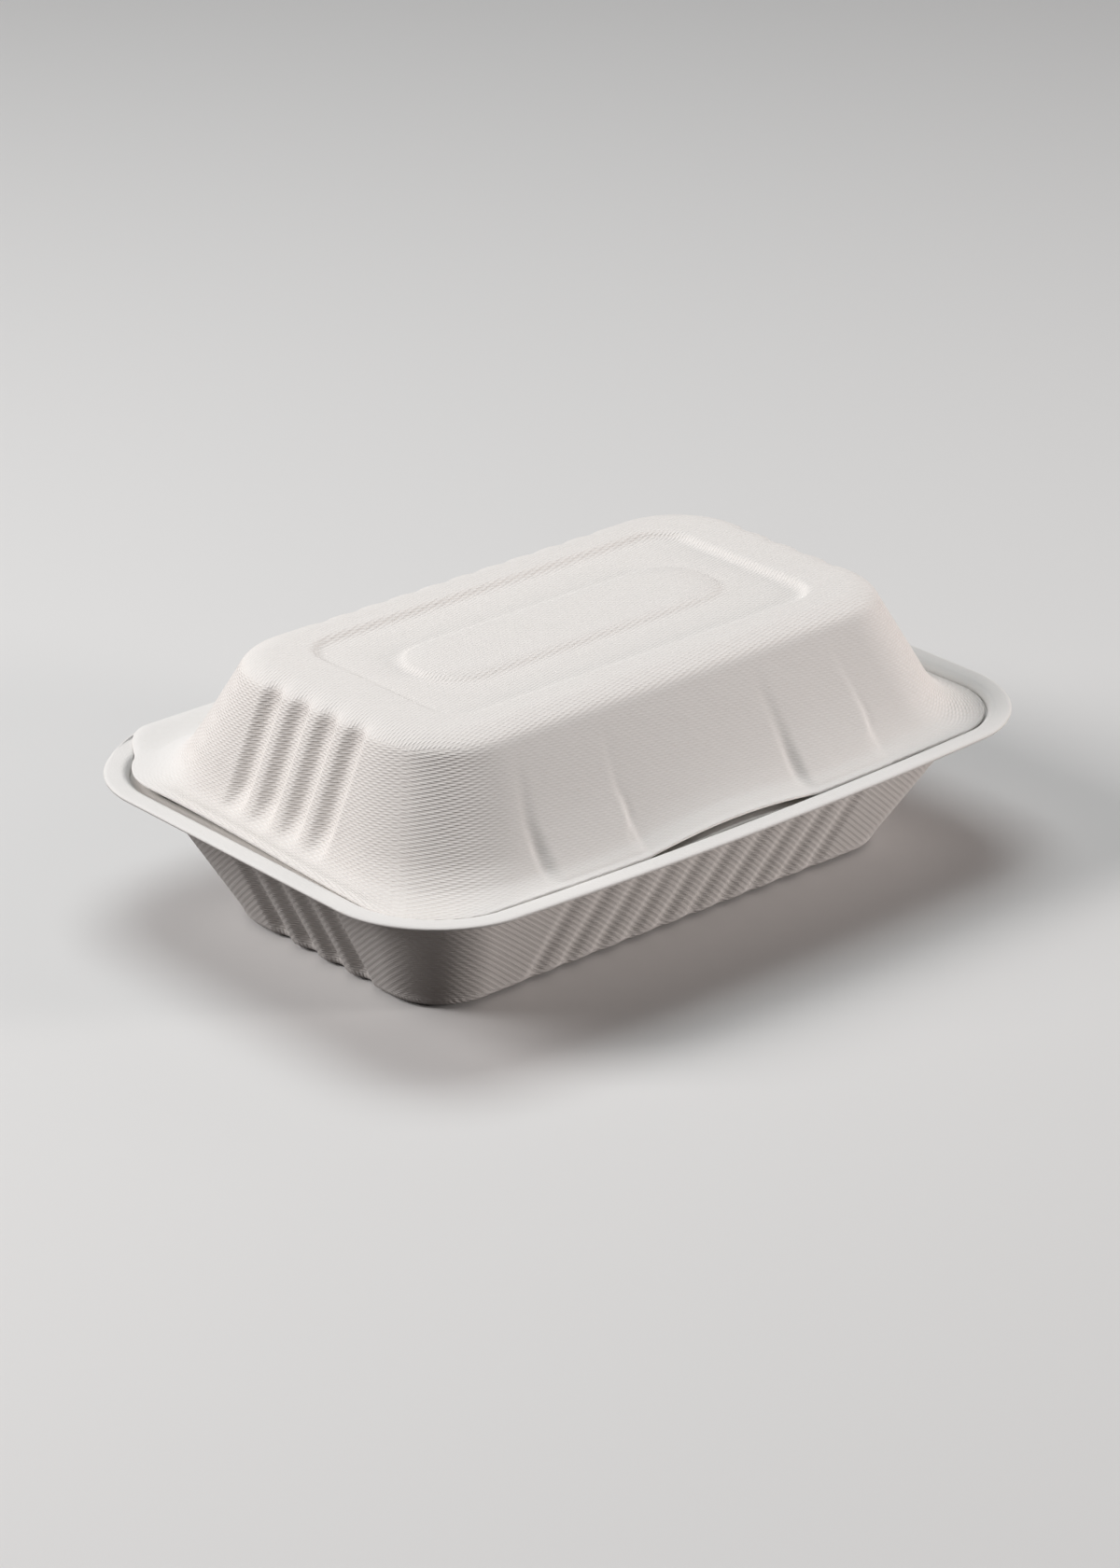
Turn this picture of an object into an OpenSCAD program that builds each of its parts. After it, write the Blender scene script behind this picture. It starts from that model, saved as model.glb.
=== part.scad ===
// Moulded-fibre food container: a tray and a lid in one sheet, joined by a fold along the back.
// Millimetres. X runs along the box, -Y is the front with the locking pads, +Z is up.
// The origin is the centre of the footprint, on the surface that the box stands on.

/* [Rim] */
// Length of the tray's rim
rim_l = 230; // [210:1:260]
// Depth of the tray's rim, from front to back
rim_w = 150; // [144:1:180]
// Height of the rim's flat band
rim_h = 42; // [34:0.2:60]
// Corner radius of the rim
rim_r = 31; // [28:0.5:34]
// Width of the flat band
band_w = 5.4; // [4:0.2:7]
// Outward bow of the front edge at its middle
front_bow = 5; // [0:0.5:8]
// Thickness of the moulded fibre
wall = 0.8; // [0.6:0.05:1]

/* [Tray] */
// Depth of the seat inside the band that takes the lid's edge
seat_drop = 2.6; // [2.2:0.1:3.6]
// Width of the seat
seat_w = 5; // [4:0.2:6]
// Distance from the rim's outline to the foot of the tray's wall
foot_inset = 29.5; // [26:0.5:33]
// Corner radius at the foot
foot_r = 18; // [15:1:22]
// Size of the rounded edge at the foot
foot_round = 4; // [3:0.5:5]
// Width of the flat ring that the box stands on
ring_w = 8; // [5:1:11]
// Rise of the floor inside that ring
floor_rise = 1.4; // [0.8:0.1:2.5]

/* [Lid] */
// Height of the closed box
lid_h = 76; // [68:1:100]
// Clearance between the lid's edge and the tray's mouth
lid_gap = 0.6; // [0.4:0.1:1]
// Clearance between the lid's edge and the seat below it
seat_gap = 0.3; // [0.2:0.05:0.6]
// Extra height of the lid's edge at the back, where the fold holds it up
back_lift = 2.5; // [1.8:0.1:3]
// Rise of the lid's front edge between the pads
front_arch = 2.4; // [0:0.1:2.6]
// Inward bow of the lid's edge at the middle of each end
end_slack = 0.9; // [0:0.1:1.4]
// Width of the lid's flared edge
flare_w = 8.6; // [8:0.2:10]
// Height of the flared edge
flare_h = 6.5; // [5:0.5:8]
// Corner radius of the lid's wall above the flared edge
flare_r = 30; // [25:1:32]
// Distance from the rim's outline to the top of the lid's wall
top_inset = 27; // [24:0.5:29]
// Corner radius at the top of the lid's wall
top_r = 25; // [18:1:27]
// Width of the rounded shoulder
shoulder_w = 8.5; // [7:0.5:9]
// Height of the rounded shoulder
shoulder_h = 6.5; // [5:0.5:8]

/* [Top panel] */
// Length of the sunken panel
panel_l = 133; // [118:1:138]
// Depth of the sunken panel, from front to back
panel_w = 65; // [58:1:70]
// Corner radius of the sunken panel
panel_r = 11; // [9:1:14]
// Depth of the panel below the frame round it
panel_drop = 1.8; // [1:0.1:3]
// Length of the raised oblong in the panel
oblong_l = 105; // [90:1:108]
// Depth of the raised oblong, from front to back
oblong_w = 29; // [24:1:34]
// Rise of the oblong above the panel
oblong_rise = 1.2; // [0.6:0.1:1.8]
// Run of each small step in the top
step_w = 2.2; // [1.5:0.1:3]

/* [Grooves] */
// Distance between neighbouring grooves
groove_pitch = 11.3; // [10:0.1:12]
// Number of grooves in each long wall
long_grooves = 10; // [6:1:10]
// Number of grooves in each end wall
end_grooves = 4; // [2:1:4]
// Depth of the tray's grooves
tray_groove = 1.5; // [0.8:0.1:2]
// Depth of the lid's grooves
lid_groove = 2.4; // [0.8:0.1:2.6]

/* [Locking pads] */
// Width of one locking pad
pad_w = 29.5; // [22:0.5:34]
// Distance between the middles of the two pads
pad_spread = 88; // [76:1:92]
// Place of the pads' middle along the front
pad_shift = -4; // [-10:1:10]
// Clearance between a pad and the tray's mouth
pad_gap = 0.3; // [0.2:0.05:0.4]
// Distance that a pad stands out of the wall
pad_out = 1.2; // [0.6:0.1:1.6]
// Depth of the dimple at each side of a pad
dimple = 1; // [0.5:0.1:1.6]
// Height of the pads and dimples
pad_h = 14; // [11:1:18]

/* [Fold] */
// Distance that the fold stands out behind the rim
fold_out = 1.3; // [1.1:0.1:2]
// Height of the crease above the band
crease_h = 1.1; // [0.9:0.1:1.6]
// Height of the top of the fold above the crease
roll_h = 1.6; // [1.4:0.1:2.2]
// Clearance between the two halves at the crease
crease_gap = 0.1; // [0.05:0.05:0.2]

/* [Hidden] */
fibre = [0.93, 0.91, 0.87];
corner_steps = 6;
half_l = rim_l / 2;
half_w = rim_w / 2;
mid_y = (front_bow - fold_out) / 2;
band_round = 1.6;
mouth = band_w + band_round;
seat_z = rim_h - seat_drop;
seat_in = mouth + seat_w;
seat_r = rim_r - mouth - seat_w / 2;
foot_in = foot_inset + foot_round;
floor_in = foot_in + ring_w;
crease_z = rim_h + crease_h;
edge_in = mouth + lid_gap;
edge_z = seat_z + seat_gap + wall;
flare_in = edge_in + flare_w;
flare_z = edge_z + flare_h;
shoulder_in = top_inset + shoulder_w;
shoulder_z = lid_h - shoulder_h;
panel_z = lid_h - panel_drop;
pad_z = edge_z + pad_h;
pad_in = flare_in + (top_inset - flare_in) * (pad_z - flare_z) / (shoulder_z - flare_z);
long_reach = long_grooves * groove_pitch / 2;
pad_reach = (pad_spread + pad_w) / 2 + abs(pad_shift) + 4;
arch_reach = (pad_spread - pad_w) / 2;
end_reach = end_grooves * groove_pitch / 2;

// Small helpers
function unit(v) = v / norm(v);
function mix(a, b, t) = a * (1 - t) + b * t;
function smooth(t) = let (u = min(1, max(0, t))) u * u * (3 - 2 * u);

// Unit normal of a profile's segment from a to b, on its lower side
function side_of(a, b) = let (d = unit(b - a)) [-d[1], d[0]];

// A profile of [inset, height] points moved by t to its lower side, with mitred corners
function shifted(p, t) = [
    for (i = [0 : len(p) - 1])
        let (
            last = len(p) - 1,
            before = side_of(p[max(i - 1, 0)], p[max(i, 1)]),
            after = side_of(p[min(i, last - 1)], p[min(i + 1, last)]),
            m = unit(before + after)
        )
        p[i] + m * t / max(0.6, m * before)
];

// A station is a line that runs down the wall. The stations go round the box from the front's
// left end. Each is [side, place or angle, groove, pad, dimple, fold, corner's x side, y side].
FRONT = 0;
RIGHT = 1;
BACK = 2;
LEFT = 3;
CORNER = 4;

// Stations of a row of grooves, from marks of [place within the pitch, depth]
function groove_line(side, count, way, fold, marks) = [
    for (i = [0 : count - 1])
        for (m = marks)
            [side, way * (i - (count - 1) / 2 + m[0]) * groove_pitch, m[1], 0, 0, fold]
];
narrow = [[-0.32, 0], [0, 1], [0.32, 0]];
broad = [[-0.36, 0], [-0.13, 1], [0.13, 1], [0.36, 0]];

// Stations of one locking pad: each side has a brink, a dimple and the pad's own edge
function pad_line(middle) = [
    for (m = [[-1, -3, 0, 0], [-1, 0, 0.4, 1], [-1, 3, 1, 0], [1, -3, 1, 0], [1, 0, 0.4, 1], [1, 3, 0, 0]])
        [FRONT, middle + m[0] * pad_w / 2 + m[1], 0, m[2], m[3], 0]
];

// Stations of one rounded corner; the fold runs a little way into the two at the back
function corner_line(start, sx, sy) = [
    for (i = [0 : corner_steps])
        let (a = start + 90 * i / corner_steps)
        [CORNER, a, 0, 0, 0, sy > 0 ? smooth(1 - abs(a - 90) / 40) : 0, sx, sy]
];

// The stations round the box, with what is given for its front wall
function round_box(front) = concat(
    front, corner_line(-90, 1, -1),
    groove_line(RIGHT, end_grooves, 1, 0, broad), corner_line(0, 1, 1),
    groove_line(BACK, long_grooves, -1, 1, narrow), corner_line(90, -1, 1),
    groove_line(LEFT, end_grooves, -1, 0, broad), corner_line(180, -1, -1)
);
tray_stations = round_box(groove_line(FRONT, long_grooves, 1, 0, narrow));
lid_stations = round_box(concat(
    pad_line(pad_shift - pad_spread / 2),
    [for (k = [-0.6, -0.3, 0, 0.3, 0.6]) [FRONT, pad_shift + k * arch_reach, 0, 0, 0, 0]],
    pad_line(pad_shift + pad_spread / 2)
));

// A station's point on a rounded rectangle with half sizes hl and hw, moved inwards by d
function outline_point(s, hl, hw, r, d) =
    let (
        x = s[1] * min(1, (hl - r) / max(long_reach, pad_reach)),
        y = s[1] * min(1, (hw - r) / end_reach)
    )
    s[0] == FRONT ? [x, -hw + d]
    : s[0] == RIGHT ? [hl - d, y]
    : s[0] == BACK ? [x, hw - d]
    : s[0] == LEFT ? [-hl + d, y]
    : [s[6] * (hl - r) + (r - d) * cos(s[1]), s[7] * (hw - r) + (r - d) * sin(s[1])];

// How far a point lies in the front edge's bow: 1 at its middle and 0 at the box's ends and back
function bow_share(p, hw) = (1 - pow(p[0] / half_l, 2)) * pow(max(0, -p[1]) / hw, 2);

// How far a point lies at the middle of an end: 1 there and 0 at the corners
function end_share(p, hl, hw) = pow(p[0] / hl, 4) * max(0, 1 - pow(p[1] / hw / 0.8, 2));

// How far the lid's edge lifts at a point: up to back_lift at the back, and in an arch between
// the pads at the front
function edge_lift(p, b) =
    back_lift * smooth((p[1] / rim_w + 0.3) / 0.6)
    + front_arch * b * (0.4 + 0.6 * smooth(1 - abs(p[0] - pad_shift) / arch_reach));

// One closed ring of points at a profile's row. The row gives [corner radius, extra inset at
// front and back, groove, pad, dimple, bow, lift] and the last five are shares from 0 to 1.
function ring(stations, depths, place, fold_place, row, r) = [
    for (s = stations)
        let (
            hl = half_l - place[0],
            hw = half_w - place[0] - row[1],
            cut = s[2] * row[2] * depths[0] - s[3] * row[3] * depths[1] + s[4] * row[4] * depths[2],
            p = outline_point(s, hl, hw, r, cut + s[5] * (fold_place[0] - place[0])),
            b = bow_share(p, hw),
            slack = end_slack * row[6] * end_share(p, hl, hw) * sign(p[0]),
            z = place[1] + row[6] * edge_lift(p, b)
        )
        [p[0] - slack, p[1] - front_bow * row[5] * b + mid_y, mix(z, fold_place[1], s[5])]
];

// The rings of one skin; a radius follows how far the skin lies inside the given profile
function skin(stations, depths, profile, fold_profile, given, rows) = [
    for (k = [0 : len(profile) - 1])
        ring(stations, depths, profile[k], fold_profile[k], rows[k],
            rows[k][0] + given[k][0] - profile[k][0])
];

// A closed sheet between its lower skin and its upper skin, each a stack of rings from the
// middle out to the edge
module sheet(stations, depths, profile, fold_profile, rows) {
    lower = skin(stations, depths, shifted(profile, wall), shifted(fold_profile, wall), profile, rows);
    upper = skin(stations, depths, profile, fold_profile, profile, rows);
    levels = len(rows);
    n = len(stations);
    rings = concat(lower, [for (k = [levels - 1 : -1 : 0]) upper[k]]);
    sides = [
        for (k = [0 : 2 * levels - 2])
            for (i = [0 : n - 1])
                let (a = k * n + i, b = k * n + (i + 1) % n)
                each [[a, a + n, b + n], [a, b + n, b]]
    ];
    last = (2 * levels - 1) * n;
    middle = 2 * levels * n;
    bottom = [for (i = [0 : n - 1]) [i, (i + 1) % n, middle]];
    top = [for (i = [0 : n - 1]) [last + (i + 1) % n, last + i, middle + 1]];
    centres = [[0, mid_y, lower[0][0][2]], [0, mid_y, upper[0][0][2]]];
    polyhedron(points = concat([for (g = rings) each g], centres), faces = concat(bottom, sides, top));
}

// The tray's inside, from the middle of the floor to the rim, as [inset, height]
tray_wall = [
    [floor_in + step_w, wall + floor_rise],
    [floor_in, wall],
    [foot_in, wall],
    [foot_inset + foot_round * 0.3, wall + foot_round * 0.3],
    [foot_inset, wall + foot_round],
    [seat_in + 0.6, seat_z - 1],
    [seat_in - 0.6, seat_z],
    [mouth, seat_z],
    [mouth, rim_h - band_round],
    [band_w, rim_h]
];
tray_edge = [[0.9, rim_h], [0, rim_h - 0.3]];
tray_crease = [[wall - fold_out, rim_h + 0.2], [wall - fold_out, crease_z - crease_gap / 2]];
tray_rows = [
    [foot_r - foot_round - ring_w / 2 - 2, 0, 0, 0, 0, 0, 0],
    [foot_r - foot_round - ring_w / 2, 0, 0, 0, 0, 0, 0],
    [foot_r - foot_round, 0, 0.2, 0, 0, 0, 0],
    [foot_r - foot_round * 0.3, 0, 0.6, 0, 0, 0, 0],
    [foot_r, 0, 1, 0, 0, 0.1, 0],
    [seat_r, 0, 0.7, 0, 0, 0.9, 0],
    [seat_r, 0, 0, 0, 0, 1, 0],
    [rim_r - mouth, 0, 0, 0, 0, 1, 0],
    [rim_r - mouth, 0, 0, 0, 0, 1, 0],
    [rim_r - band_w, 0, 0, 0, 0, 1, 0],
    [rim_r - 0.9, 0, 0, 0, 0, 1, 0],
    [rim_r, 0, 0, 0, 0, 1, 0]
];

// The lid's outside, from the middle of the top to the edge
lid_wall = [
    [half_l - oblong_l / 2 + step_w, panel_z + oblong_rise],
    [half_l - oblong_l / 2, panel_z],
    [half_l - panel_l / 2 + step_w, panel_z],
    [half_l - panel_l / 2, lid_h],
    [shoulder_in, lid_h],
    [top_inset + shoulder_w * 0.3, shoulder_z + shoulder_h * 0.7],
    [top_inset, shoulder_z],
    [pad_in, pad_z],
    [flare_in, flare_z]
];
lid_edge = [
    [edge_in + flare_w * 0.7, edge_z + flare_h * 0.38],
    [edge_in + flare_w * 0.4, edge_z + flare_h * 0.13],
    [edge_in + 2, edge_z + 0.3],
    [edge_in + 0.8, edge_z + 0.1],
    [edge_in, edge_z]
];
lid_crease = [
    [edge_in + flare_w * 0.7, crease_z + 1.8],
    [edge_in + flare_w * 0.35, crease_z + 0.2],
    [fold_out, crease_z + roll_h],
    [-fold_out, crease_z + roll_h / 2],
    [-fold_out, crease_z + crease_gap / 2]
];
oblong_short = (rim_w - oblong_w - rim_l + oblong_l) / 2;
panel_short = (rim_w - panel_w - rim_l + panel_l) / 2;
edge_r = rim_r - edge_in;
pad_edge = (lid_gap - pad_gap) / pad_out;
lid_rows = [
    [oblong_w / 2 - step_w - 1.5, oblong_short, 0, 0, 0, 0, 0],
    [oblong_w / 2 - 1.5, oblong_short, 0, 0, 0, 0, 0],
    [panel_r - step_w, panel_short, 0, 0, 0, 0, 0],
    [panel_r, panel_short, 0, 0, 0, 0, 0],
    [top_r - shoulder_w, 0, 0, 0, 0, 0.1, 0],
    [top_r - shoulder_w * 0.3, 0, 0.4, 0, 0, 0.2, 0],
    [top_r, 0, 1, 0, 0, 0.3, 0],
    [mix(flare_r, top_r, 0.35), 0, 1, 0.3, 0.4, 0.7, 0.15],
    [flare_r, 0, 1, 1, 1, 0.9, 0.5],
    [mix(edge_r, flare_r, 0.7), 0, 0.5, 1, 1, 1, 0.8],
    [mix(edge_r, flare_r, 0.4), 0, 0, 0.8, 0.5, 1, 1],
    [edge_r - 2, 0, 0, pad_edge, 0, 1, 1],
    [edge_r - 0.8, 0, 0, pad_edge, 0, 1, 1],
    [edge_r, 0, 0, pad_edge, 0, 1, 1]
];

// The tray, with the lower half of the fold along its back edge
module base_tray() {
    color(fibre)
        sheet(tray_stations, [tray_groove, 0, 0], concat(tray_wall, tray_edge),
            concat(tray_wall, tray_crease), tray_rows);
}

// The lid, with the upper half of the fold along its back edge
module lid() {
    color(fibre)
        sheet(lid_stations, [lid_groove, pad_out, dimple], concat(lid_wall, lid_edge),
            concat(lid_wall, lid_crease), lid_rows);
}

base_tray();
lid();
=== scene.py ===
"""Looks of the moulded-fibre food box: tray, lid and the fold behind them. Metres, in the CAD's frame."""
import math

import bpy
import numpy as np
from mathutils import Matrix, Vector


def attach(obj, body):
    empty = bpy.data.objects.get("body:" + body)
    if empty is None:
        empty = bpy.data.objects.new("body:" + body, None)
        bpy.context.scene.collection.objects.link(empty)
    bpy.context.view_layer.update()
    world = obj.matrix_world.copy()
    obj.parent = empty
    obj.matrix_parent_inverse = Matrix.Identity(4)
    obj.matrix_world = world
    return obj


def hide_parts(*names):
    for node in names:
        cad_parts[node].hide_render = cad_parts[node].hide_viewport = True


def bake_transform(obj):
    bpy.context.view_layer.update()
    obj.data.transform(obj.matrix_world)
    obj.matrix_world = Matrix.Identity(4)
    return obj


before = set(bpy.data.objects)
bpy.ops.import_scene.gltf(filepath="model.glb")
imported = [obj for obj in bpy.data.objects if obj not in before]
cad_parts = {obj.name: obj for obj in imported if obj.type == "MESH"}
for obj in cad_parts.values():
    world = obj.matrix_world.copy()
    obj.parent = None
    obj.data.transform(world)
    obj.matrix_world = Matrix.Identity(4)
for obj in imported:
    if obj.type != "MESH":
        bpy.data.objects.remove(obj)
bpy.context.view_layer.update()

MM = 0.001

# Sizes in millimetres, the same as in part.scad
RIM_L, RIM_W, RIM_H, RIM_R = 230.0, 150.0, 42.0, 31.0
BAND_W, FRONT_BOW, WALL, BAND_ROUND = 5.4, 5.0, 0.8, 1.6
SEAT_DROP, SEAT_W = 2.6, 5.0
FOOT_INSET, FOOT_R, FOOT_ROUND, RING_W, FLOOR_RISE = 29.5, 18.0, 4.0, 8.0, 1.4
LID_H, LID_GAP, SEAT_GAP, BACK_LIFT, FRONT_ARCH, END_SLACK = 76.0, 0.6, 0.3, 2.5, 2.4, 0.9
FLARE_W, FLARE_H, FLARE_R = 8.6, 6.5, 30.0
TOP_INSET, TOP_R, SHOULDER_W, SHOULDER_H = 27.0, 25.0, 8.5, 6.5
PANEL_L, PANEL_W, PANEL_R, PANEL_DROP = 133.0, 65.0, 11.0, 1.8
OBLONG_L, OBLONG_W, OBLONG_RISE, STEP_W = 105.0, 29.0, 1.2, 2.2
PITCH, LONG_GROOVES, END_GROOVES, TRAY_GROOVE, LID_GROOVE = 11.3, 10, 4, 1.5, 2.4
PAD_W, PAD_SPREAD, PAD_SHIFT, PAD_GAP, PAD_OUT, DIMPLE, PAD_H = 29.5, 88.0, -4.0, 0.3, 1.2, 1.0, 14.0
FOLD_OUT, CREASE_H, ROLL_H, CREASE_GAP = 1.3, 1.1, 1.6, 0.1

HALF_L, HALF_W = RIM_L / 2, RIM_W / 2
MID_Y = (FRONT_BOW - FOLD_OUT) / 2
MOUTH = BAND_W + BAND_ROUND
SEAT_Z = RIM_H - SEAT_DROP
SEAT_IN = MOUTH + SEAT_W
SEAT_R = RIM_R - MOUTH - SEAT_W / 2
FOOT_IN = FOOT_INSET + FOOT_ROUND
FLOOR_IN = FOOT_IN + RING_W
CREASE_Z = RIM_H + CREASE_H
EDGE_IN = MOUTH + LID_GAP
EDGE_Z = SEAT_Z + SEAT_GAP + WALL
EDGE_R = RIM_R - EDGE_IN
FLARE_IN = EDGE_IN + FLARE_W
FLARE_Z = EDGE_Z + FLARE_H
SHOULDER_IN = TOP_INSET + SHOULDER_W
SHOULDER_Z = LID_H - SHOULDER_H
PANEL_Z = LID_H - PANEL_DROP
PAD_Z = EDGE_Z + PAD_H
PAD_IN = FLARE_IN + (TOP_INSET - FLARE_IN) * (PAD_Z - FLARE_Z) / (SHOULDER_Z - FLARE_Z)
PAD_REACH = (PAD_SPREAD + PAD_W) / 2 + abs(PAD_SHIFT) + 4
ARCH_REACH = (PAD_SPREAD - PAD_W) / 2
LONG_SPAN, END_SPAN = HALF_L - RIM_R, HALF_W - RIM_R
END_REACH = END_GROOVES * PITCH / 2
PAD_MIDDLES = (PAD_SHIFT - PAD_SPREAD / 2, PAD_SHIFT + PAD_SPREAD / 2)

# Rise of the tray's seat below the arch in the lid's front edge
SEAT_ARCH = 2.0
# Shares of the lid's front arch: along the whole front, and what is added between the pads
ARCH_ALL, ARCH_MORE = 0.38, 0.95
# Depths of the grooves against the solids' grooves
LID_END_CUT, TRAY_END_CUT, TRAY_LONG_CUT = 1.2, 1.8, 0.6
# Shares of the pitch: half a broad groove, its flank, and half a narrow groove
BROAD_HALF, BROAD_FLANK, NARROW_HALF = 0.42, 0.36, 0.4
# Ramps at the left and right end of a locking pad
LEFT_RAMP, RIGHT_RAMP = 4.0, 2.8
# Half width and depth share of the groove at a pad's left and of the S line at its right
LEFT_DIMPLE, RIGHT_DIMPLE, S_LEAN = (3, 1.0), (2, 0.3), 1.6
# Pitches of the forming screen's wires, across and down a wall
WARP, WEFT = 0.91, 0.42
# Steps between the stations of the long sides and of the ends, and stations in a corner
LONG_STEP, END_STEP, CORNER_STATIONS = 0.95, 1.1, 33
FRONT, RIGHT, BACK, LEFT, CORNER = range(5)


# Stations: lines that run down the walls

def smooth(t):
    u = np.clip(t, 0, 1)
    return u * u * (3 - 2 * u)


def mix(a, b, t):
    return a * (1 - t) + b * t


def stations():
    """One row per station: side, place or angle, fold, corner's x side and y side."""
    def straight(side, span, step, way, fold):
        where = way * np.linspace(-span, span, 2 * round(span / step) + 1)
        zero = np.zeros(len(where))
        return np.stack([zero + side, where, zero + fold, zero, zero], 1)

    def corner(start, sx, sy):
        a = start + np.linspace(0, 90, CORNER_STATIONS)[1:-1]
        fold = smooth(1 - np.abs(a - 90) / 40) * (sy > 0)
        return np.stack([0 * a + CORNER, a, fold, 0 * a + sx, 0 * a + sy], 1)

    return np.concatenate([
        straight(FRONT, LONG_SPAN, LONG_STEP, 1, 0), corner(-90, 1, -1),
        straight(RIGHT, END_SPAN, END_STEP, 1, 0), corner(0, 1, 1),
        straight(BACK, LONG_SPAN, LONG_STEP, -1, 1), corner(90, -1, 1),
        straight(LEFT, END_SPAN, END_STEP, -1, 0), corner(180, -1, -1),
    ])


def grooves(place, count, broad):
    """Depth share of a row of grooves at each place."""
    t = place / PITCH + (count - 1) / 2
    off = np.abs(t - np.clip(np.round(t), 0, count - 1))
    if broad:
        return smooth((BROAD_HALF - off) / BROAD_FLANK)
    return 0.5 + 0.5 * np.cos(math.pi * np.clip(off / NARROW_HALF, 0, 1))


def pads(place):
    """Share of the locking pads at each place; each ends more sharply at its right."""
    share = 0 * place
    for middle in PAD_MIDDLES:
        off = place - middle
        left = smooth((PAD_W / 2 + LEFT_RAMP / 2 + off) / LEFT_RAMP)
        share = share + left * smooth((PAD_W / 2 + RIGHT_RAMP / 2 - off) / RIGHT_RAMP)
    return share


def dimples(place, height):
    """Depth share of the grooves beside the pads: a broad one at the left, a thin S at the right."""
    share = 0 * place
    lean = S_LEAN * math.sin(min(1, max(0, height / PAD_H)) * math.pi * 2)
    for middle in PAD_MIDDLES:
        left, right = place - middle + PAD_W / 2, place - middle - PAD_W / 2 + lean
        for off, (half, depth) in ((left, LEFT_DIMPLE), (right, RIGHT_DIMPLE)):
            share = share + depth * smooth(1 - np.abs(off) / half)
    return share


def ring(st, depths, row, is_lid):
    """The points of all stations at one row and their screen places, in millimetres."""
    inset, height, fold_inset, fold_height, radius, extra, groove, pad, dimple, bow, lift = row
    hl, hw = HALF_L - inset, HALF_W - inset - extra
    half_x, half_y = hl - radius, hw - radius
    side, where, fold, sx, sy = st.T
    x_way, y_way = where * half_x / LONG_SPAN, where * half_y / END_SPAN
    place_x, place_y = x_way / min(1, half_x / PAD_REACH), y_way / min(1, half_y / END_REACH)
    ends = (side == RIGHT) | (side == LEFT)
    cut = np.where(ends, grooves(place_y, END_GROOVES, True), 0)
    cut = np.where(side == BACK, grooves(place_x, LONG_GROOVES, False), cut)
    if is_lid:
        cut = cut * groove * depths[0] * np.where(ends, LID_END_CUT, 1)
        front = dimples(place_x, height - EDGE_Z) * dimple * depths[2] - pads(place_x) * pad * depths[1]
        cut = np.where(side == FRONT, front, cut)
    else:
        cut = np.where(side == FRONT, grooves(place_x, LONG_GROOVES, False), cut) * groove * depths[0]
        cut = cut * np.where(ends, TRAY_END_CUT, TRAY_LONG_CUT)
    cut = cut + fold * (fold_inset - inset)
    turn = np.radians(where)
    straight = [side == FRONT, side == RIGHT, side == BACK, side == LEFT]
    x = np.select(straight, [x_way, hl - cut, x_way, -hl + cut], sx * half_x + (radius - cut) * np.cos(turn))
    y = np.select(straight, [-hw + cut, y_way, hw - cut, y_way], sy * half_y + (radius - cut) * np.sin(turn))
    b = (1 - (x / HALF_L) ** 2) * (np.maximum(0, -y) / hw) ** 2
    arch = np.maximum(0, 1 - ((x - PAD_SHIFT) / ARCH_REACH) ** 2)
    if is_lid:
        front_rise = FRONT_ARCH * b * (ARCH_ALL + ARCH_MORE * arch)
        rise = lift * (BACK_LIFT * smooth((y / RIM_W + 0.3) / 0.6) + front_rise)
    else:
        rise = lift * SEAT_ARCH * b * arch
    slack = END_SLACK * lift * (x / hl) ** 4 * np.maximum(0, 1 - (y / hw / 0.8) ** 2) * np.sign(x)
    z = (height + rise) * (1 - fold) + fold_height * fold

    from_long = np.where(side == CORNER, np.arccos(np.clip(np.abs(np.sin(turn)), 0, 1)), 0)
    from_end = math.pi / 2 - from_long
    along_x = np.where(side == CORNER, sx * (half_x + radius * from_long), x_way)
    along_y = np.where(side == CORNER, sy * (half_y + radius * from_end), y_way)
    points = np.stack([x - slack, y - FRONT_BOW * bow * b + MID_Y, z], 1)
    return points, np.stack([along_x, along_y], 1)


# Profiles

def shifted(p, t):
    """A profile moved by t to its lower side, with mitred corners."""
    p = np.array(p, float)
    d = np.diff(p, axis=0)
    d /= np.linalg.norm(d, axis=1)[:, None]
    normal = np.stack([-d[:, 1], d[:, 0]], 1)
    before, after = np.vstack([normal[:1], normal]), np.vstack([normal, normal[-1:]])
    m = before + after
    m /= np.linalg.norm(m, axis=1)[:, None]
    return p + m * t / np.maximum(0.6, (m * before).sum(1))[:, None]


def skin_rows(profile, fold_profile, given, shares):
    """Rows for ring(), from the coarse profile of one skin."""
    rows = []
    for p, f, g, s in zip(profile, fold_profile, given, shares):
        rows.append([p[0], p[1], f[0], f[1], s[0] + g[0] - p[0], *s[1:]])
    return np.array(rows, float)


def soften(rows, radii, step, arc):
    """Rounds the corners between rows and splits long stretches."""
    size = np.linalg.norm(np.diff(rows[:, :2], axis=0), axis=1)
    marks = [rows[0]]

    def straight(to):
        start = marks[-1]
        n = max(1, int(np.linalg.norm((to - start)[:2]) / step))
        marks.extend(start + (to - start) * i / n for i in range(1, n + 1))

    for k in range(1, len(rows) - 1):
        c = min(radii[k], 0.46 * size[k - 1], 0.46 * size[k])
        a = rows[k] + (rows[k - 1] - rows[k]) * c / size[k - 1]
        b = rows[k] + (rows[k + 1] - rows[k]) * c / size[k]
        straight(a)
        for t in np.linspace(0, 1, arc + 1)[1:]:
            marks.append(a * (1 - t) ** 2 + rows[k] * 2 * t * (1 - t) + b * t * t)
    straight(rows[-1])
    return np.array(marks)


def pulled(rows, amount):
    """The last row moved back along the profile, to leave room for the rounded edge."""
    rows = rows.copy()
    back = rows[-2] - rows[-1]
    rows[-1] += back * min(0.8, amount / max(1e-6, np.linalg.norm(back[:2])))
    return rows


# Meshes

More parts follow.
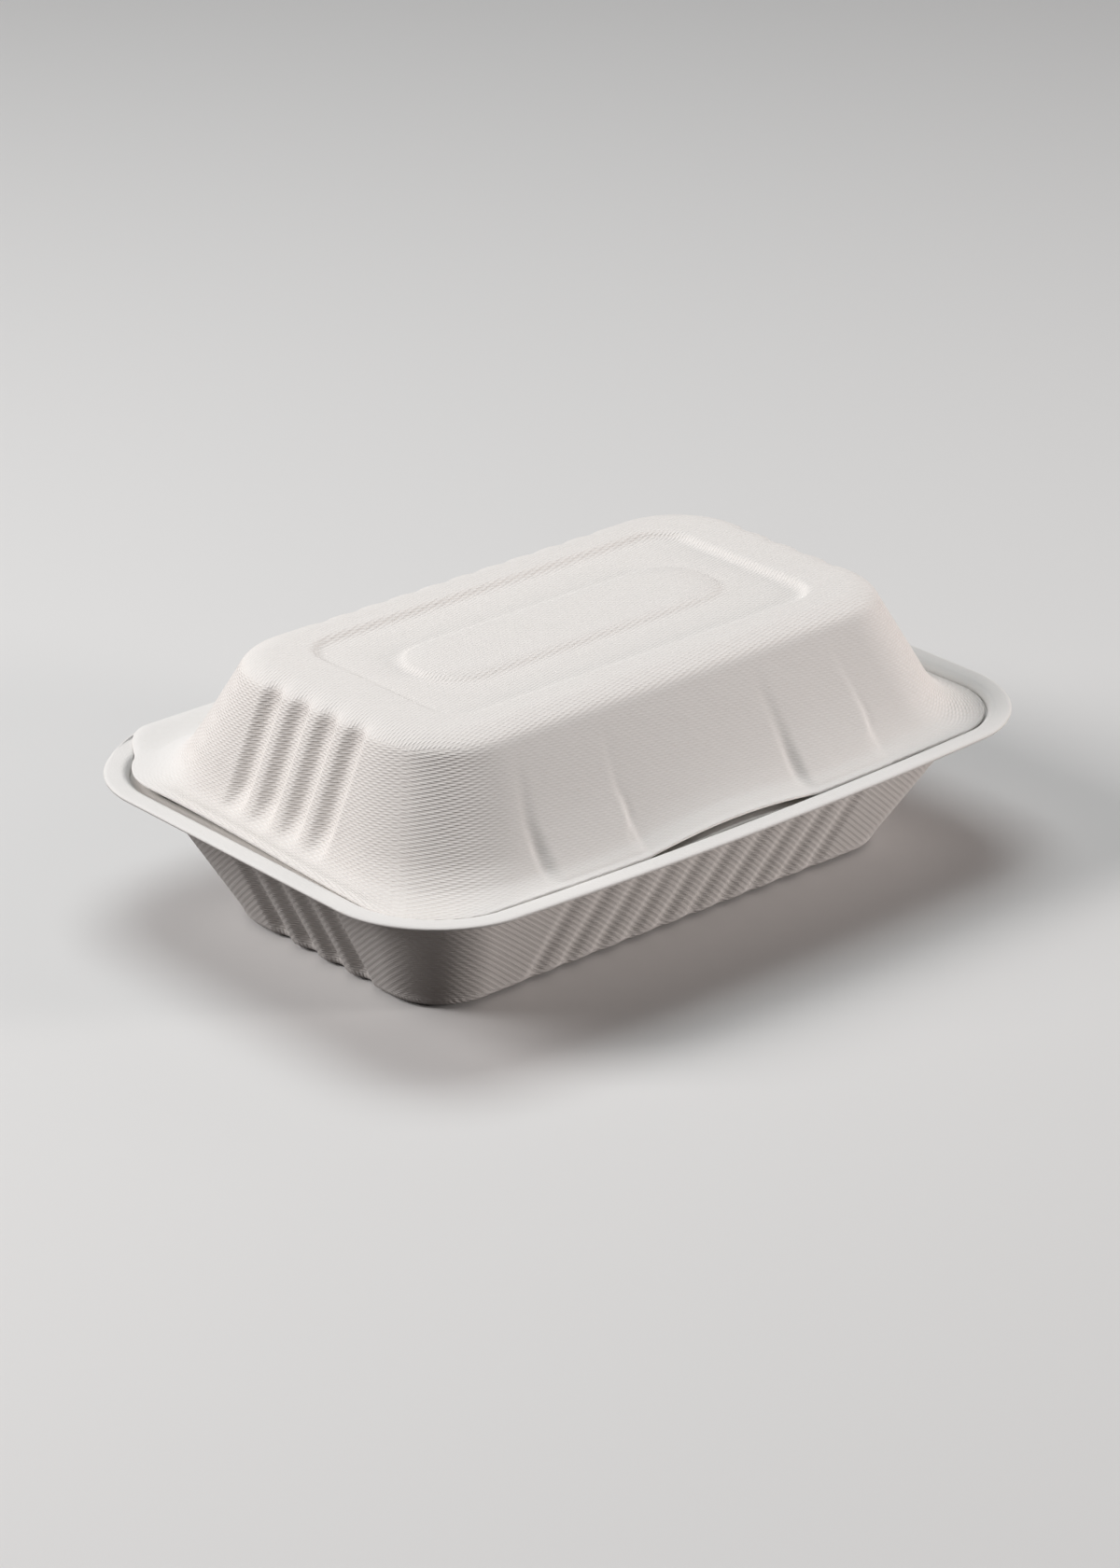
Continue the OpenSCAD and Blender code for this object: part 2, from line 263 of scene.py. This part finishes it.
def new_object(name, points, faces):
    mesh = bpy.data.meshes.new(name)
    mesh.from_pydata((np.asarray(points) * MM).tolist(), [], faces)
    mesh.validate()
    mesh.polygons.foreach_set("use_smooth", np.ones(len(mesh.polygons), bool))
    ob = bpy.data.objects.new(name, mesh)
    bpy.context.scene.collection.objects.link(ob)
    return ob


def paint(ob, places, blend, zone):
    """UV maps of the screen's places, along the long sides and along the ends, and point colours."""
    loops = np.empty(len(ob.data.loops), int)
    ob.data.loops.foreach_get("vertex_index", loops)
    for name, along in (("weave_long", places[:, 0]), ("weave_end", places[:, 1])):
        layer = ob.data.uv_layers.new(name=name)
        uv = np.stack([along, places[:, 2]], 1)[loops]
        layer.data.foreach_set("uv", uv.astype(np.float32).ravel())
    for name, values in (("zone", zone), ("side", np.stack([blend, blend, blend, blend], 1))):
        layer = ob.data.color_attributes.new(name=name, type="FLOAT_COLOR", domain="POINT")
        layer.data.foreach_set("color", np.clip(values, 0, 1).astype(np.float32).ravel())


# Sizes of the rings that close a panel, as shares of its outline
INNER = (0.06, 0.3, 0.55, 0.78)
# Places of the rings across the sheet's cut edge, and how far its skins stop short of it
EDGE_MARKS, EDGE_ROUND = (0.22, 0.5, 0.78), 0.25
# Longest step in millimetres and steps in a bend, on the outer and on the inner skin
FINE, PLAIN = (1.5, 5), (3.4, 3)
# Kinds of ring: lower panel, lower skin, cut edge, upper skin, upper panel
UNDER, BELOW, EDGE, ABOVE, OVER = range(5)


def shell(name, depths, profile, fold_profile, shares, radii, is_lid, zone):
    """A closed sheet between its lower and its upper skin. zone gives a ring's colours."""
    st = stations()
    low = skin_rows(shifted(profile, WALL), shifted(fold_profile, WALL), profile, shares)
    high = skin_rows(profile, fold_profile, profile, shares)
    low_soft = soften(pulled(low, EDGE_ROUND), radii, *(PLAIN if is_lid else FINE))
    high_soft = soften(pulled(high, EDGE_ROUND), radii, *(FINE if is_lid else PLAIN))
    edge = [mix(low[-1], high[-1], t) for t in EDGE_MARKS]
    rows = [*low_soft, *edge, *high_soft[::-1]]
    made = [ring(st, depths, r, is_lid) for r in rows]
    rings, places = [m[0] for m in made], [m[1] for m in made]
    kinds = [BELOW] * len(low_soft) + [EDGE] * len(edge) + [ABOVE] * len(high_soft)

    def inwards(first):
        centre = np.array([0, MID_Y, first[:, 2].mean()])
        return [centre + (first - centre) * [f, f, 1] for f in INNER]

    rings = [*inwards(rings[0]), *rings, *inwards(rings[-1])[::-1]]
    places = [places[0]] * len(INNER) + places + [places[-1]] * len(INNER)
    kinds = [UNDER] * len(INNER) + kinds + [OVER] * len(INNER)
    n, levels = len(st), len(rings)
    points = np.concatenate([*rings, [rings[0].mean(0)], [rings[-1].mean(0)]])
    k, i = np.meshgrid(np.arange(levels - 1), np.arange(n), indexing="ij")
    j = (i + 1) % n
    quads = np.stack([k * n + j, (k + 1) * n + j, (k + 1) * n + i, k * n + i], -1).reshape(-1, 4).tolist()
    top, far = (levels - 1) * n, np.roll(np.arange(n), -1)
    caps = [[levels * n, b, a] for a, b in enumerate(far.tolist())]
    caps += [[levels * n + 1, top + a, top + b] for a, b in enumerate(far.tolist())]
    ob = new_object(name, points, quads + caps)

    middle = np.stack([r[n // 16] for r in rings])
    down = np.concatenate([[0], np.cumsum(np.linalg.norm(np.diff(middle, axis=0), axis=1))])
    along = np.concatenate([np.column_stack([p, np.full(n, v)]) for p, v in zip(places, down)])
    along = np.vstack([along, np.zeros((2, 3))])
    side, turn = st[:, 0], np.abs(np.sin(np.radians(st[:, 1])))
    near_end = np.where(side == CORNER, smooth((np.degrees(np.arccos(turn)) - 62) / 24 + 0.5), 0)
    near_end = np.where((side == RIGHT) | (side == LEFT), 1, near_end)
    blend = np.concatenate([np.tile(near_end, levels), [0, 0]])
    centres = np.tile([1, 1, 0, 0], (2, 1))
    colours = np.concatenate([zone(r, kind, st) for r, kind in zip(rings, kinds)] + [centres])
    paint(ob, along, blend, colours)
    return ob


# Profiles are lists of [inset from the rim's outline, height]. Shares are lists of [corner radius,
# further inset of the long sides, groove, pad, dimple, bow, lift], and radii round a profile's corners.
TRAY_WALL = [
    [FLOOR_IN + STEP_W, WALL + FLOOR_RISE],
    [FLOOR_IN, WALL],
    [FOOT_IN, WALL],
    [FOOT_INSET + FOOT_ROUND * 0.3, WALL + FOOT_ROUND * 0.3],
    [FOOT_INSET, WALL + FOOT_ROUND],
    [SEAT_IN + 0.6, SEAT_Z - 1],
    [SEAT_IN - 0.6, SEAT_Z],
    [MOUTH, SEAT_Z],
    [MOUTH, RIM_H - BAND_ROUND],
    [BAND_W, RIM_H],
]
TRAY_EDGE = [[0.9, RIM_H], [0, RIM_H - 0.3]]
TRAY_CREASE = [[WALL - FOLD_OUT, RIM_H + 0.2], [WALL - FOLD_OUT, CREASE_Z - CREASE_GAP / 2]]
TRAY_SHARES = [
    [FOOT_R - FOOT_ROUND - RING_W / 2 - 2, 0, 0, 0, 0, 0, 0],
    [FOOT_R - FOOT_ROUND - RING_W / 2, 0, 0, 0, 0, 0, 0],
    [FOOT_R - FOOT_ROUND, 0, 0.2, 0, 0, 0, 0],
    [FOOT_R - FOOT_ROUND * 0.3, 0, 0.6, 0, 0, 0, 0],
    [FOOT_R, 0, 1, 0, 0, 0.1, 0],
    [SEAT_R, 0, 0.7, 0, 0, 0.9, 0.6],
    [SEAT_R, 0, 0, 0, 0, 1, 1],
    [RIM_R - MOUTH, 0, 0, 0, 0, 1, 1],
    [RIM_R - MOUTH, 0, 0, 0, 0, 1, 0],
    [RIM_R - BAND_W, 0, 0, 0, 0, 1, 0],
    [RIM_R - 0.9, 0, 0, 0, 0, 1, 0],
    [RIM_R, 0, 0, 0, 0, 1, 0],
]
TRAY_RADII = [0, 1.4, 2, 2, 4, 0.8, 0.8, 1.1, 0.9, 1.0, 0.6, 0]

LID_WALL = [
    [HALF_L - OBLONG_L / 2 + STEP_W, PANEL_Z + OBLONG_RISE],
    [HALF_L - OBLONG_L / 2, PANEL_Z],
    [HALF_L - PANEL_L / 2 + STEP_W, PANEL_Z],
    [HALF_L - PANEL_L / 2, LID_H],
    [SHOULDER_IN, LID_H],
    [TOP_INSET + SHOULDER_W * 0.3, SHOULDER_Z + SHOULDER_H * 0.7],
    [TOP_INSET, SHOULDER_Z],
    [PAD_IN, PAD_Z],
    [FLARE_IN, FLARE_Z],
]
LID_EDGE = [
    [EDGE_IN + FLARE_W * 0.7, EDGE_Z + FLARE_H * 0.38],
    [EDGE_IN + FLARE_W * 0.4, EDGE_Z + FLARE_H * 0.13],
    [EDGE_IN + 2, EDGE_Z + 0.3],
    [EDGE_IN + 0.8, EDGE_Z + 0.1],
    [EDGE_IN, EDGE_Z],
]
LID_CREASE = [
    [EDGE_IN + FLARE_W * 0.7, CREASE_Z + 1.8],
    [EDGE_IN + FLARE_W * 0.35, CREASE_Z + 0.2],
    [FOLD_OUT, CREASE_Z + ROLL_H],
    [-FOLD_OUT, CREASE_Z + ROLL_H / 2],
    [-FOLD_OUT, CREASE_Z + CREASE_GAP / 2],
]
OBLONG_SHORT = (RIM_W - OBLONG_W - RIM_L + OBLONG_L) / 2
PANEL_SHORT = (RIM_W - PANEL_W - RIM_L + PANEL_L) / 2
PAD_EDGE = (LID_GAP - PAD_GAP) / PAD_OUT
LID_SHARES = [
    [OBLONG_W / 2 - STEP_W - 1.5, OBLONG_SHORT, 0, 0, 0, 0, 0],
    [OBLONG_W / 2 - 1.5, OBLONG_SHORT, 0, 0, 0, 0, 0],
    [PANEL_R - STEP_W, PANEL_SHORT, 0, 0, 0, 0, 0],
    [PANEL_R, PANEL_SHORT, 0, 0, 0, 0, 0],
    [TOP_R - SHOULDER_W, 0, 0, 0, 0, 0.1, 0],
    [TOP_R - SHOULDER_W * 0.3, 0, 0.4, 0, 0, 0.2, 0],
    [TOP_R, 0, 1, 0, 0, 0.3, 0],
    [mix(FLARE_R, TOP_R, 0.35), 0, 1, 0.3, 0.4, 0.7, 0.15],
    [FLARE_R, 0, 1, 1, 1, 0.9, 0.5],
    [mix(EDGE_R, FLARE_R, 0.7), 0, 0.5, 1, 1, 1, 0.8],
    [mix(EDGE_R, FLARE_R, 0.4), 0, 0, 0.8, 0.5, 1, 1],
    [EDGE_R - 2, 0, 0, PAD_EDGE, 0, 1, 1],
    [EDGE_R - 0.8, 0, 0, PAD_EDGE, 0, 1, 1],
    [EDGE_R, 0, 0, PAD_EDGE, 0, 1, 1],
]
LID_RADII = [0, 1.6, 1.6, 1.8, 4, 3, 4, 6, 3, 2, 2, 0.8, 0.6, 0]


# Materials

class Nodes:
    """Short way to write a node material."""

    def __init__(self, name):
        self.material = bpy.data.materials.new(name)
        self.material.use_nodes = True
        self.tree = self.material.node_tree
        self.tree.nodes.clear()

    def add(self, kind, **settings):
        node = self.tree.nodes.new(kind)
        for key, value in settings.items():
            setattr(node, key, value)
        return node

    def put(self, socket, value):
        if isinstance(value, bpy.types.NodeSocket):
            self.tree.links.new(value, socket)
        else:
            socket.default_value = value

    def math(self, operation, a, b=0.0, c=0.0):
        node = self.add("ShaderNodeMath", operation=operation)
        for socket, value in zip(node.inputs, (a, b, c)):
            self.put(socket, value)
        return node.outputs[0]

    def mix(self, share, a, b):
        """Mix of two colours."""
        node = self.add("ShaderNodeMix", data_type="RGBA")
        self.put(node.inputs["Factor"], share)
        self.put(node.inputs[6], a)
        self.put(node.inputs[7], b)
        return node.outputs[2]

    def blend(self, share, a, b):
        """Mix of two plain values."""
        node = self.add("ShaderNodeMix", data_type="FLOAT")
        for socket, value in zip(node.inputs[:1] + node.inputs[2:4], (share, a, b)):
            self.put(socket, value)
        return node.outputs[0]

    def split(self, vector):
        node = self.add("ShaderNodeSeparateXYZ")
        self.put(node.inputs[0], vector)
        return node.outputs

    def noise(self, vector, scale, detail=2.0, roughness=0.5):
        node = self.add("ShaderNodeTexNoise")
        self.put(node.inputs["Vector"], vector)
        node.inputs["Scale"].default_value = scale
        node.inputs["Detail"].default_value = detail
        node.inputs["Roughness"].default_value = roughness
        return node.outputs["Fac"]


# Depth of the screen's print in millimetres and strength of the painted shade in its pits
PRINT_HEIGHT, PAINTED_PIT_STRENGTH = 0.26, 0.4
# Shares of the three waves that make up the weave
LOW_WAVE, STEEP_WAVE, CROSS_WAVE = 0.225, 0.15, 0.125
FIBRE_DARK, FIBRE_PALE = (0.890, 0.862, 0.838, 1), (0.915, 0.890, 0.868, 1)
# The second colour here is painted light: a warm tint that stands in for the amber glow of light inside the
# shut box, seen through the slits.
SMOOTH_FIBRE, SLIT_GLOW_PAINT = (0.800, 0.785, 0.768, 1), (0.80, 0.76, 0.71, 1)
# The first colour here is painted shade in the print's pits; the second is the real colour of dark fibre
# flecks.
PAINTED_PIT_SHADE, FLECK_SHADE = (0.60, 0.52, 0.46, 1), (0.56, 0.46, 0.36, 1)
FLOOR_BOUNCE, FLOOR_SEEN = (0.105, 0.095, 0.092, 1), (0.74, 0.735, 0.73, 1)


def screen(t, u, v):
    """Print of the forming screen's five-shaft satin weave, 0 in its pits to 1, at u and v millimetres."""
    def wave(across, up):
        return t.math("MULTIPLY_ADD", u, 2 * math.pi * across / (5 * WARP),
                      t.math("MULTIPLY", v, 2 * math.pi * up / (5 * WEFT)))

    steep, low = wave(1, 3), wave(-1, 2)
    both = t.math("COSINE", t.math("SUBTRACT", steep, low))
    total = t.math("MULTIPLY_ADD", t.math("COSINE", low), LOW_WAVE, 0.5)
    total = t.math("MULTIPLY_ADD", t.math("COSINE", steep), STEEP_WAVE, total)
    return t.math("MULTIPLY_ADD", both, CROSS_WAVE, total)


def fibre():
    """Moulded plant fibre: screen print, soft lumps, short fibres, faint mottling, painted shade in the
    print's pits and a painted amber glow of light where the lid stands off the tray.
    """
    t = Nodes("moulded_fibre")
    spot = t.add("ShaderNodeTexCoord").outputs["Object"]
    zone = t.add("ShaderNodeAttribute", attribute_name="zone")
    parts = t.add("ShaderNodeSeparateColor")
    t.put(parts.inputs[0], zone.outputs["Color"])
    # Zone channels: printed, flat, share of the painted amber glow; its alpha makes the print coarser and
    # its painted pit shade darker.
    printed, flat, painted_glow = parts.outputs
    coarse_print_and_pit_shade = t.math("ADD", 1, zone.outputs["Alpha"])
    near_end = t.add("ShaderNodeAttribute", attribute_name="side").outputs["Fac"]

    drift = t.math("MULTIPLY", t.math("SUBTRACT", t.noise(spot, 140, 1), 0.5), 0.15)

    def print_of(along, down):
        return screen(t, t.math("ADD", along, drift), t.math("ADD", down, drift))

    long_way = t.split(t.add("ShaderNodeUVMap", uv_map="weave_long").outputs["UV"])
    end_way = t.split(t.add("ShaderNodeUVMap", uv_map="weave_end").outputs["UV"])
    wall = t.blend(near_end, print_of(*long_way[:2]), print_of(*end_way[:2]))
    place = t.split(spot)
    top = print_of(t.math("MULTIPLY", place[0], 1 / MM), t.math("MULTIPLY", place[1], 1 / MM))
    weave = t.blend(flat, wall, top)

    lumps = t.math("MULTIPLY", t.noise(spot, 120, 2), 0.16)
    strands = t.math("MULTIPLY", t.noise(spot, 1400, 3, 0.6), 0.035)
    depth = t.math("MULTIPLY", coarse_print_and_pit_shade, PRINT_HEIGHT)
    height = t.math("MULTIPLY", t.math("MULTIPLY", weave, printed), depth)
    bump = t.add("ShaderNodeBump")
    bump.inputs["Strength"].default_value = 1.0
    bump.inputs["Distance"].default_value = MM
    t.put(bump.inputs["Height"], t.math("ADD", height, t.math("ADD", lumps, strands)))

    cloud = t.noise(spot, 45, 3)
    base = t.mix(cloud, FIBRE_DARK, FIBRE_PALE)
    base = t.mix(printed, SMOOTH_FIBRE, base)
    # Painted shade: the print's pits are darkened, more on the tray's outside.
    pit_shade_share = t.math("MULTIPLY", printed, t.math("MULTIPLY", coarse_print_and_pit_shade, PAINTED_PIT_STRENGTH))
    base = t.mix(t.math("MULTIPLY", t.math("SUBTRACT", 1, weave), pit_shade_share), base, PAINTED_PIT_SHADE)
    # Painted light: an amber tint where the slits open, for the glow inside the shut box.
    base = t.mix(painted_glow, base, SLIT_GLOW_PAINT)
    fleck = t.math("GREATER_THAN", t.noise(spot, 900, 1), 0.74)
    base = t.mix(t.math("MULTIPLY", fleck, 0.12), base, FLECK_SHADE)

    shader = t.add("ShaderNodeBsdfPrincipled")
    t.put(shader.inputs["Base Color"], base)
    t.put(shader.inputs["Roughness"], t.math("ADD", 0.74, t.math("MULTIPLY", cloud, 0.14)))
    shader.inputs["Specular IOR Level"].default_value = 0.28
    t.put(shader.inputs["Normal"], bump.outputs[0])
    out = t.add("ShaderNodeOutputMaterial")
    t.put(out.inputs["Surface"], shader.outputs[0])
    return t.material


def floor_material():
    """Pale floor for the camera, darker for the light that it throws back."""
    t = Nodes("pale_floor")
    way = t.add("ShaderNodeLightPath")
    seen = t.math("MAXIMUM", way.outputs["Is Camera Ray"],
                  t.math("MAXIMUM", way.outputs["Is Glossy Ray"], way.outputs["Is Transmission Ray"]))
    shader = t.add("ShaderNodeBsdfPrincipled")
    t.put(shader.inputs["Base Color"], t.mix(seen, FLOOR_BOUNCE, FLOOR_SEEN))
    shader.inputs["Roughness"].default_value = 0.9
    shader.inputs["Specular IOR Level"].default_value = 0.1
    out = t.add("ShaderNodeOutputMaterial")
    t.put(out.inputs["Surface"], shader.outputs[0])
    return t.material


# Pieces

def dress(ob, material, body, *nodes):
    ob.data.materials.append(material)
    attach(ob, body)
    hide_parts(*nodes)


def open_share(points):
    """1 where the lid's edge stands off the tray: at both ends and between the pads. The painted amber glow
    goes there.
    """
    x, y = points[:, 0], points[:, 1] - MID_Y
    ends = 0.5 * smooth((np.abs(x) - 90) / 12) * smooth((68 - np.abs(y)) / 16)
    return np.maximum(ends, smooth((ARCH_REACH + 4 - np.abs(x - PAD_SHIFT)) / 8) * (y < 0))


def tray_zone(points, kind, st):
    """Colours of a ring's points: printed, flat, share of the painted amber glow, and how much coarser the
    print and darker its painted pit shade are.
    """
    z = points[:, 2]
    if kind <= BELOW:
        printed = 0.7 - 0.55 * smooth((z - RIM_H + 2.6) / 0.8)
        flat = 1 - smooth((z - 1.6) / 2.5)
        painted_glow = 0 * z
    else:
        printed = 0 * z + 0.1
        flat = smooth((FOOT_ROUND + WALL - z) / 2)
        # Painted glow on the tray's mouth and seat where the slits open.
        painted_glow = smooth((RIM_H - 0.5 - z) / 2) * smooth((z - SEAT_Z + 5) / 3) * open_share(points)
    return np.stack([printed, flat, painted_glow, 0 * z + 0.2 * (kind <= BELOW)], 1)


def lid_zone(points, kind, st):
    """The same for the lid, whose front wall and back flange are nearly smooth."""
    z = points[:, 2]
    printed = 0 * z + {EDGE: 0.3, ABOVE: 1.0, OVER: 1.0}.get(kind, 0.1)
    flat = smooth((z - LID_H + SHOULDER_H * 0.55) / 2)
    if kind >= ABOVE:
        front = (st[:, 0] == FRONT) | (st[:, 0] == CORNER) & (st[:, 4] < 0)
        from_front = np.degrees(np.arccos(np.clip(-np.sin(np.radians(st[:, 1])), -1, 1)))
        plain = np.where(st[:, 0] == FRONT, 1, smooth(1 - from_front / 45)) * front
        printed = (1 - 0.75 * plain * (1 - flat)) * (1 - 0.25 * flat)
        printed = printed * (1 - 0.9 * smooth(points[:, 1] / 30 - 1) * smooth((EDGE_Z + 9 - z) / 4))
    # Painted glow on the lid's lower skin near its edge where the slits open.
    painted_glow = smooth((FLARE_Z + 2 - z) / 5) * open_share(points) if kind <= BELOW else 0 * z
    return np.stack([printed, flat, painted_glow, 0 * z], 1)


def make_tray(material):
    ob = shell("tray_shell", (TRAY_GROOVE, 0, 0), TRAY_WALL + TRAY_EDGE, TRAY_WALL + TRAY_CREASE,
               TRAY_SHARES, TRAY_RADII, False, tray_zone)
    dress(ob, material, "tray", "base_tray")


def make_lid(material):
    ob = shell("lid_shell", (LID_GROOVE, PAD_OUT, DIMPLE), LID_WALL + LID_EDGE, LID_WALL + LID_CREASE,
               LID_SHARES, LID_RADII, True, lid_zone)
    dress(ob, material, "lid", "lid")


def make_fold_strip(material):
    """The sheet of the fold between its two halves: a thin strip along the crease."""
    back = HALF_W + FOLD_OUT + MID_Y
    across = [(0.02, 0), (0.01, 0.3), (-0.2, 0.12), (-0.5, 0.07), (-0.76, 0.03), (-0.8, 0), (-0.76, -0.03),
              (-0.5, -0.07), (-0.2, -0.12), (0.01, -0.3)]
    n = len(across)
    ends = np.linspace(-LONG_SPAN, LONG_SPAN, 85)
    points = np.array([(x, back + y, CREASE_Z + z) for x in ends for y, z in across])
    faces = [[k * n + i, (k + 1) * n + i, (k + 1) * n + (i + 1) % n, k * n + (i + 1) % n]
             for k in range(len(ends) - 1) for i in range(n)]
    last = (len(ends) - 1) * n
    faces += [list(range(n)), [last + i for i in range(n - 1, -1, -1)]]
    ob = new_object("fold_strip", points, faces)
    count = len(points)
    paint(ob, points, np.zeros(count), np.tile([0.1, 0, 0, 0], (count, 1)))
    ob.data.materials.append(material)
    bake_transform(ob)


# Stage, lights, camera

FLOOR_HALF = 6.0


def make_floor():
    mesh = bpy.data.meshes.new("floor")
    s = FLOOR_HALF
    mesh.from_pydata([(-s, -s, 0), (s, -s, 0), (s, s, 0), (-s, s, 0)], [], [(0, 1, 2, 3)])
    ob = bpy.data.objects.new("floor", mesh)
    bpy.context.scene.collection.objects.link(ob)
    mesh.materials.append(floor_material())


def area(name, where, size, power, colour):
    """A soft square lamp that looks at the box."""
    data = bpy.data.lights.new(name, "AREA")
    data.shape = "SQUARE"
    data.size = size
    data.energy = power
    data.color = colour
    ob = bpy.data.objects.new(name, data)
    bpy.context.scene.collection.objects.link(ob)
    place = Vector(where)
    ob.location = place
    ob.rotation_mode = "QUATERNION"
    ob.rotation_quaternion = (Vector((0, 0, 0.04)) - place).to_track_quat("-Z", "Y")


# Place and width in metres, power in watts, colour
LAMPS = {
    "key": ((-1.2, 0.7, 1.05), 0.7, 21, (1.0, 0.965, 0.955)),
    "top": ((0.1, 0.3, 1.5), 1.0, 11.5, (0.95, 0.99, 1.0)),
    "side": ((1.3, -0.3, 0.5), 0.8, 1.2, (1.0, 0.85, 0.85)),
    "low": ((0.9, -1.0, 0.22), 0.3, 10.2, (1.0, 0.93, 0.90)),
}
AMBIENT, BACKDROP = (0.02, 0.02, 0.02, 1), (0.86, 0.86, 0.86, 1)


def make_lights():
    for name, (where, size, power, colour) in LAMPS.items():
        area(name, where, size, power, colour)
    world = bpy.data.worlds.new("studio")
    bpy.context.scene.world = world
    world.use_nodes = True
    tree = world.node_tree
    tree.nodes.clear()
    way = tree.nodes.new("ShaderNodeLightPath")
    most = tree.nodes.new("ShaderNodeMath")
    most.operation = "MAXIMUM"
    tree.links.new(way.outputs["Is Camera Ray"], most.inputs[0])
    tree.links.new(way.outputs["Is Glossy Ray"], most.inputs[1])
    mixer = tree.nodes.new("ShaderNodeMix")
    mixer.data_type = "RGBA"
    tree.links.new(most.outputs[0], mixer.inputs["Factor"])
    mixer.inputs[6].default_value = AMBIENT
    mixer.inputs[7].default_value = BACKDROP
    ground = tree.nodes.new("ShaderNodeBackground")
    tree.links.new(mixer.outputs[2], ground.inputs["Color"])
    out = tree.nodes.new("ShaderNodeOutputWorld")
    tree.links.new(ground.outputs[0], out.inputs["Surface"])


# Width and lens in millimetres, angles in degrees, distance and sideways and upward shift in metres
SENSOR, LENS = 36, 111.6
TURN, TIP = -41.46, 24.5
DISTANCE, SHIFT_RIGHT, SHIFT_UP = 1.33778, -0.00101, 0.0244


def make_camera():
    """The photograph's viewing angle, distance and lens."""
    data = bpy.data.cameras.new("camera")
    data.sensor_width = SENSOR
    data.lens = LENS
    data.clip_start, data.clip_end = 0.01, 50
    ob = bpy.data.objects.new("camera", data)
    bpy.context.scene.collection.objects.link(ob)
    turn, tip = math.radians(TURN), math.radians(TIP)
    right = np.array([math.cos(turn), math.sin(turn), 0])
    back = np.array([math.sin(turn) * math.cos(tip), -math.cos(turn) * math.cos(tip), math.sin(tip)])
    up = np.cross(back, right)
    place = back * DISTANCE + right * SHIFT_RIGHT + up * SHIFT_UP + np.array([0, MID_Y * MM, 0])
    m = Matrix.Identity(4)
    for row in range(3):
        m[row][0], m[row][1], m[row][2], m[row][3] = right[row], up[row], back[row], place[row]
    ob.matrix_world = m
    bpy.context.scene.camera = ob


make_camera()
make_floor()
make_lights()
FIBRE = fibre()
make_tray(FIBRE)
make_lid(FIBRE)
make_fold_strip(FIBRE)

bpy.context.scene.view_settings.view_transform = "Standard"
